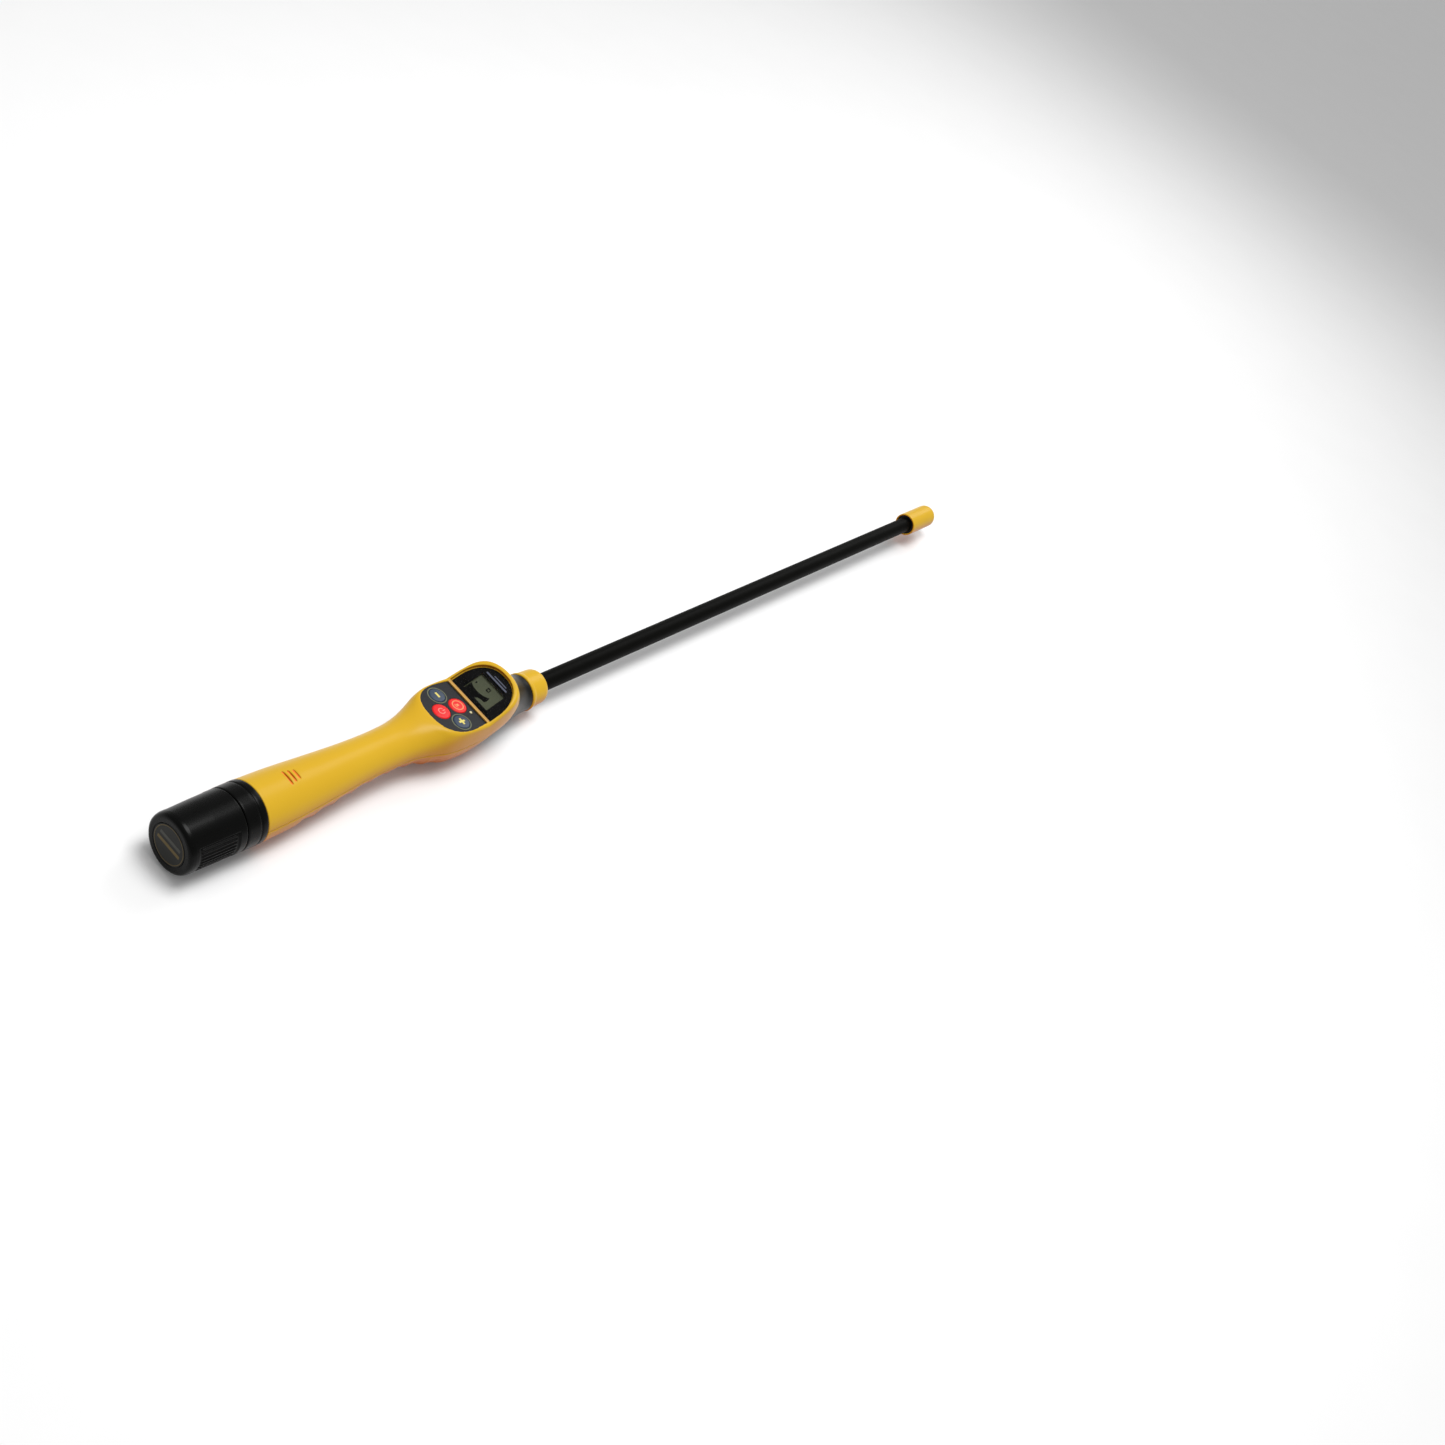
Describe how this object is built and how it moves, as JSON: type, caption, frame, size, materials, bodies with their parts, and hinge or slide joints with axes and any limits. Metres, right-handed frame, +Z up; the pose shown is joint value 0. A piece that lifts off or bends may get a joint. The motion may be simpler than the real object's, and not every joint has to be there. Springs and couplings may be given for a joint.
{
  "type": "magnetic locator wand",
  "caption": "Hand-held magnetic locator wand: yellow handle with keypad and display head, slim black sensor tube, tip cap and twist-off battery cap.",
  "frame": {"origin": "on the resting surface, under the middle of the wand's length and under its axis", "axes": "+X along the wand's axis towards the sensor tip, +Y to the left, +Z up through the display"},
  "size_m": [1.08, 0.0584, 0.067],
  "materials": {
    "cap_black": "satin black moulded plastic",
    "label_dark": "printed label film",
    "seal_rubber": "soft black rubber",
    "steel": "zinc plated steel",
    "carrier_plastic": "black moulded plastic",
    "cell_jacket": "shrink jacket",
    "spring_metal": "nickel plated contact strip",
    "board_green": "solder mask over glass laminate",
    "gold_pins": "gold plated pins",
    "housing_yellow": "yellow moulded plastic, satin gloss",
    "nose_black": "satin black moulded plastic",
    "overlay_dark": "printed polyester overlay",
    "key_red": "red domed key",
    "key_blue": "dark blue domed key",
    "chip_black": "moulded chip packages",
    "connector_white": "nylon connector shell",
    "window_clear": "clear acrylic window",
    "mask_black": "black printed mask",
    "lcd_grey": "reflective liquid crystal glass",
    "backlight_white": "diffuser sheet",
    "ribbon_amber": "polyimide flat cable",
    "speaker_black": "speaker basket and cone",
    "mesh_cloth": "woven dust cloth",
    "tube_black": "black drawn tube, powder coated",
    "rail_laminate": "glass laminate strip",
    "bobbin_white": "nylon bobbin",
    "winding_copper": "enamelled copper wire",
    "core_alloy": "nickel iron alloy",
    "foam_grey": "closed-cell foam",
    "wire_black": "insulated wire",
    "wire_red": "insulated wire",
    "led_amber": "clear amber lens"
  },
  "bodies": {
    "wand": {"locking_ring": "cap_black", "contact_plate": "board_green", "plate_springs": "gold_pins", "lower_housing": "housing_yellow", "upper_housing": "housing_yellow", "housing_screws": "steel", "keypad_overlay": "overlay_dark", "button_mat": "seal_rubber", "volume_switch": "chip_black", "power_switch": "chip_black", "minus_switch": "chip_black", "plus_switch": "chip_black", "status_led": "led_amber", "main_board": "board_green", "board_chips": "chip_black", "power_connector": "connector_white", "sensor_connector": "connector_white", "display_window": "window_clear", "display_mask": "mask_black", "lcd_panel": "lcd_grey", "lcd_backlight": "backlight_white", "lcd_frame": "carrier_plastic", "lcd_ribbon": "ribbon_amber", "speaker": "speaker_black", "speaker_mesh": "mesh_cloth", "nose_cone": "nose_black", "collar_nut": "housing_yellow", "tube_seal": "seal_rubber", "sensor_tube": "tube_black", "tip_cap": "housing_yellow", "tip_bushing": "seal_rubber", "sensor_rail": "rail_laminate", "rear_sensor_bobbin": "bobbin_white", "front_sensor_bobbin": "bobbin_white", "rear_sensor_winding": "winding_copper", "front_sensor_winding": "winding_copper", "rear_sensor_core": "core_alloy", "front_sensor_core": "core_alloy", "tube_spacers": "foam_grey", "sensor_cable": "wire_black", "battery_lead": "wire_red", "speaker_lead": "wire_black"},
    "cartridge": {"battery_carrier": "carrier_plastic", "carrier_contacts": "spring_metal", "battery_cell_1": "cell_jacket", "battery_cell_2": "cell_jacket", "battery_cell_3": "cell_jacket", "battery_cell_4": "cell_jacket"},
    "cap": {"battery_cap": "cap_black", "cap_label": "label_dark", "cap_seal": "seal_rubber", "cap_pivot_screw": "steel"},
    "volume_button": {"volume_button": "key_red"},
    "power_button": {"power_button": "key_red"},
    "minus_button": {"minus_button": "key_blue"},
    "plus_button": {"plus_button": "key_blue"}
  },
  "joints": [
    {"name": "cartridge_draw", "type": "slide", "parent": "wand", "child": "cartridge", "axis": [-1, 0, 0], "range_m": [0, 0.1]},
    {"name": "cap_twist", "type": "hinge", "parent": "cartridge", "child": "cap", "pos_m": [-0.54, 0, 0.0262], "axis": [-1, 0, 0], "range_deg": [0, 90]},
    {"name": "volume_press", "type": "slide", "parent": "wand", "child": "volume_button", "axis": [-0.0854, 0, -0.9963], "range_m": [0, 0.0008], "stiffness_N_per_m": 1500, "springref_m": -0.0005},
    {"name": "power_press", "type": "slide", "parent": "wand", "child": "power_button", "axis": [-0.0854, 0, -0.9963], "range_m": [0, 0.0008], "stiffness_N_per_m": 1500, "springref_m": -0.0005},
    {"name": "minus_press", "type": "slide", "parent": "wand", "child": "minus_button", "axis": [-0.0854, 0, -0.9963], "range_m": [0, 0.0008], "stiffness_N_per_m": 1500, "springref_m": -0.0005},
    {"name": "plus_press", "type": "slide", "parent": "wand", "child": "plus_button", "axis": [-0.0854, 0, -0.9963], "range_m": [0, 0.0008], "stiffness_N_per_m": 1500, "springref_m": -0.0005}
  ]
}
